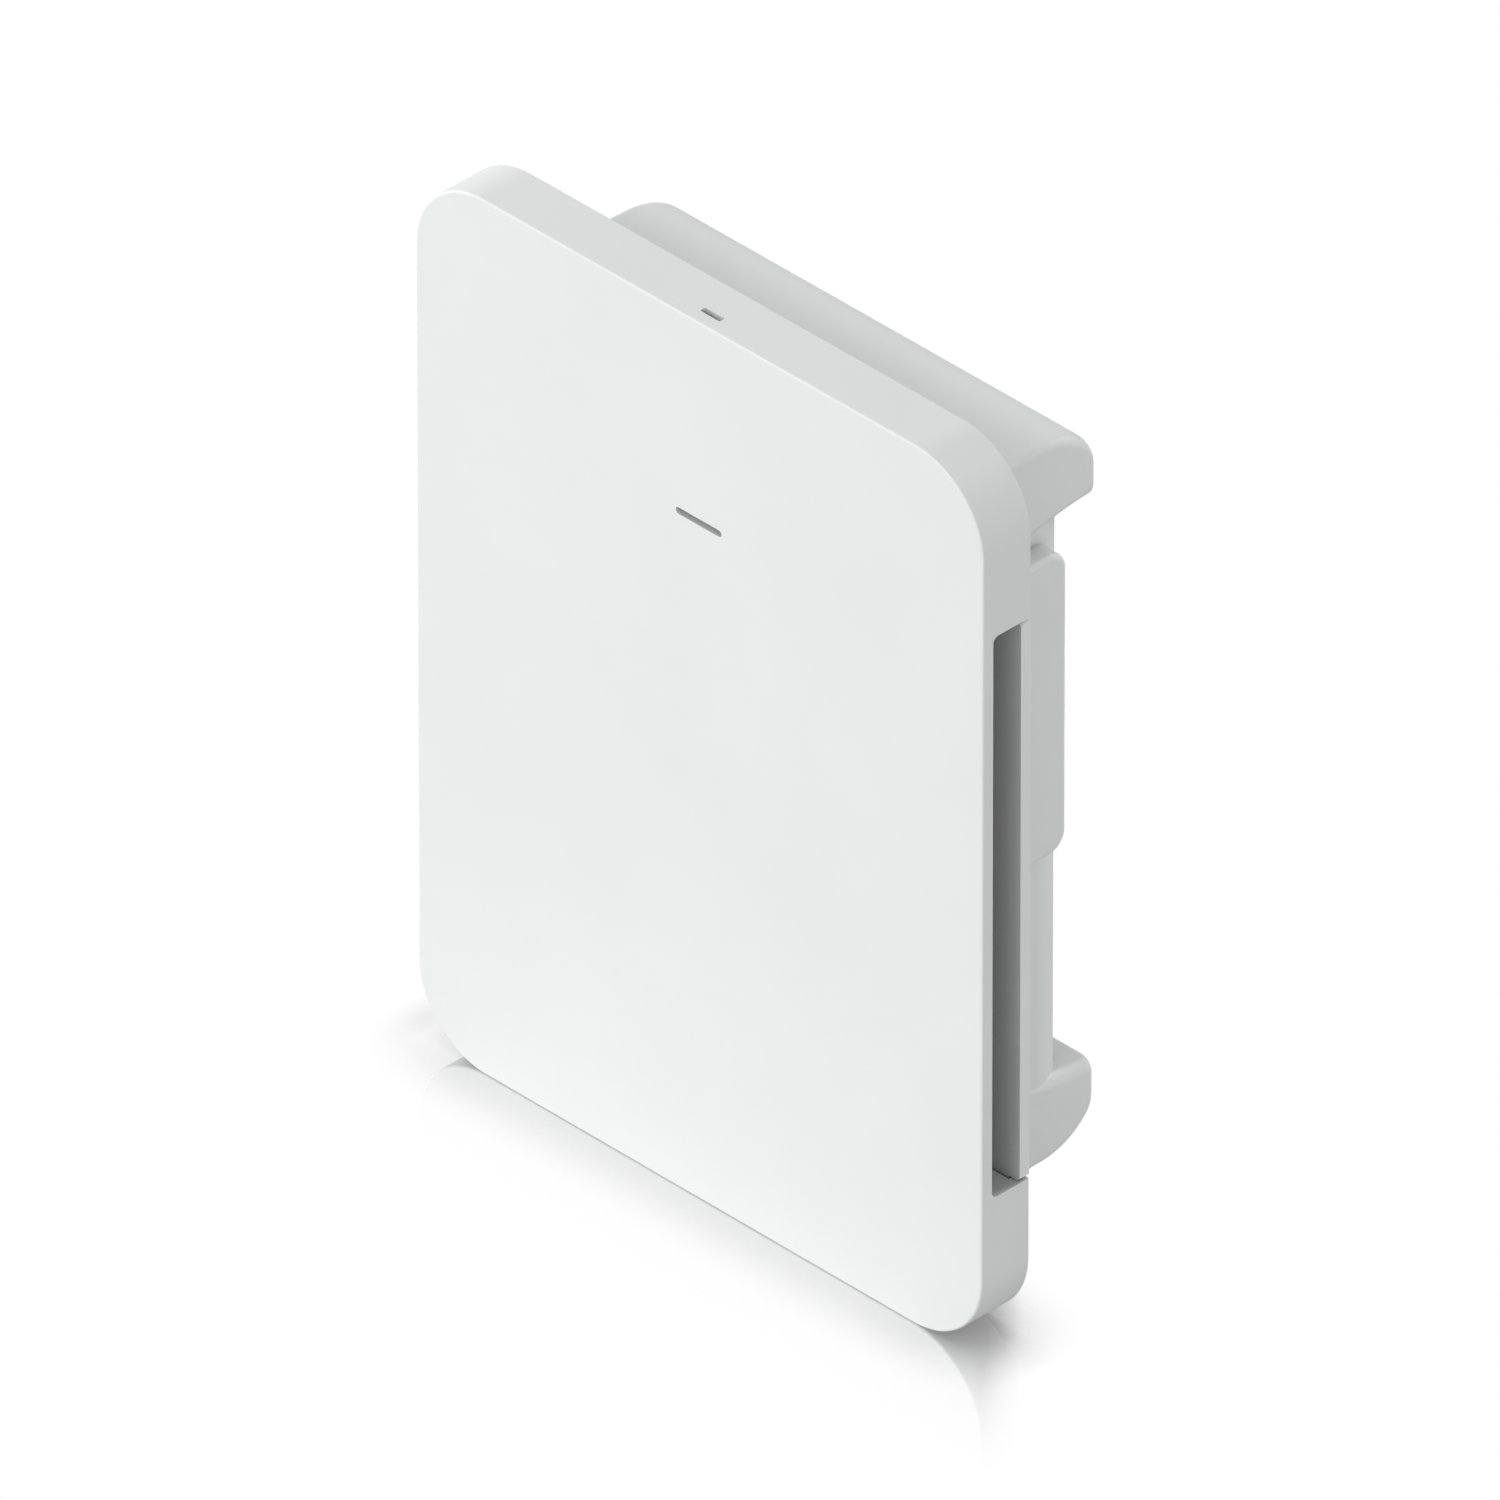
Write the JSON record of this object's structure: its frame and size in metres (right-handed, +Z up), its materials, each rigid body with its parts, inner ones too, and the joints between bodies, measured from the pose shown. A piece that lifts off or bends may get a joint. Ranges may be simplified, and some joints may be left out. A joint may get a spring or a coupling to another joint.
{
  "type": "wireless access point",
  "caption": "Flat rounded-rectangle wireless access point with a raised rear housing that hangs on a ceiling or wall bracket.",
  "frame": {"origin": "on the bracket's wall face, level with the middle of the cover", "axes": "+X to the right seen from the front, +Y from the front face towards the wall or ceiling, +Z up when hung on a wall"},
  "size_m": [0.12, 0.0393, 0.159],
  "materials": {
    "white_plastic": "fine satin grain",
    "housing_plastic": "fine satin grain",
    "lens": "smoked, glossy",
    "button_plastic": "satin",
    "black_plastic": "satin",
    "zinc_steel": "zinc plated",
    "spring_steel": "bright",
    "tinned_steel": "bright tin",
    "aluminium": "matt",
    "circuit_board": "solder mask",
    "chip_resin": "moulded epoxy",
    "thermal_pad": "soft, matt",
    "winding_tape": "taped winding",
    "cable_jacket": "smooth"
  },
  "bodies": {
    "bracket": {"wall_bracket": "zinc_steel", "bracket_stud_1": "zinc_steel", "bracket_stud_2": "zinc_steel", "bracket_stud_3": "zinc_steel", "bracket_stud_4": "zinc_steel"},
    "unit": {"cover_screw_1": "zinc_steel", "cover_screw_2": "zinc_steel", "cover_screw_3": "zinc_steel", "cover_screw_4": "zinc_steel", "board_screw_1": "zinc_steel", "board_screw_2": "zinc_steel", "board_screw_3": "zinc_steel", "board_screw_4": "zinc_steel", "sink_screw_1": "zinc_steel", "sink_screw_2": "zinc_steel", "reflector_screw_1": "zinc_steel", "reflector_screw_2": "zinc_steel", "latch_rivet": "zinc_steel", "front_cover": "white_plastic", "rear_housing": "housing_plastic", "light_pipe": "lens", "status_led": "lens", "jack_insert": "black_plastic", "tact_switch": "black_plastic", "plunger_spring": "spring_steel", "latch_leaf": "spring_steel", "shield_processor": "tinned_steel", "shield_radio_left": "tinned_steel", "shield_radio_right": "tinned_steel", "jack_shell": "tinned_steel", "antenna_low_left": "tinned_steel", "antenna_low_right": "tinned_steel", "antenna_mid_left": "tinned_steel", "antenna_mid_right": "tinned_steel", "antenna_high_left": "tinned_steel", "antenna_high_right": "tinned_steel", "antenna_reflector": "aluminium", "heat_sink": "aluminium", "capacitor_1": "aluminium", "capacitor_2": "aluminium", "main_board": "circuit_board", "led_board": "circuit_board", "chip_processor": "chip_resin", "chip_radio_left": "chip_resin", "chip_radio_right": "chip_resin", "line_transformer": "chip_resin", "thermal_pad_processor": "thermal_pad", "thermal_pad_radio_left": "thermal_pad", "thermal_pad_radio_right": "thermal_pad", "power_transformer": "winding_tape", "power_inductor": "winding_tape", "coax_low_left": "cable_jacket", "coax_low_right": "cable_jacket", "coax_mid_left": "cable_jacket", "coax_mid_right": "cable_jacket", "coax_high_left": "cable_jacket", "coax_high_right": "cable_jacket"},
    "plunger": {"release_plunger": "white_plastic"},
    "button": {"reset_button": "button_plastic"}
  },
  "joints": [
    {"name": "unit_lift", "type": "slide", "parent": "bracket", "child": "unit", "axis": [0, 0, 1], "range_m": [0, 0.008], "deforming": ["latch_leaf"]},
    {"name": "plunger_press", "type": "slide", "parent": "unit", "child": "plunger", "axis": [0, 0, -1], "range_m": [0, 0.0025], "stiffness_N_per_m": 300, "deforming": ["plunger_spring", "latch_leaf"]},
    {"name": "reset_press", "type": "slide", "parent": "unit", "child": "button", "axis": [0, 0, 1], "range_m": [0, 0.0008], "stiffness_N_per_m": 800}
  ]
}
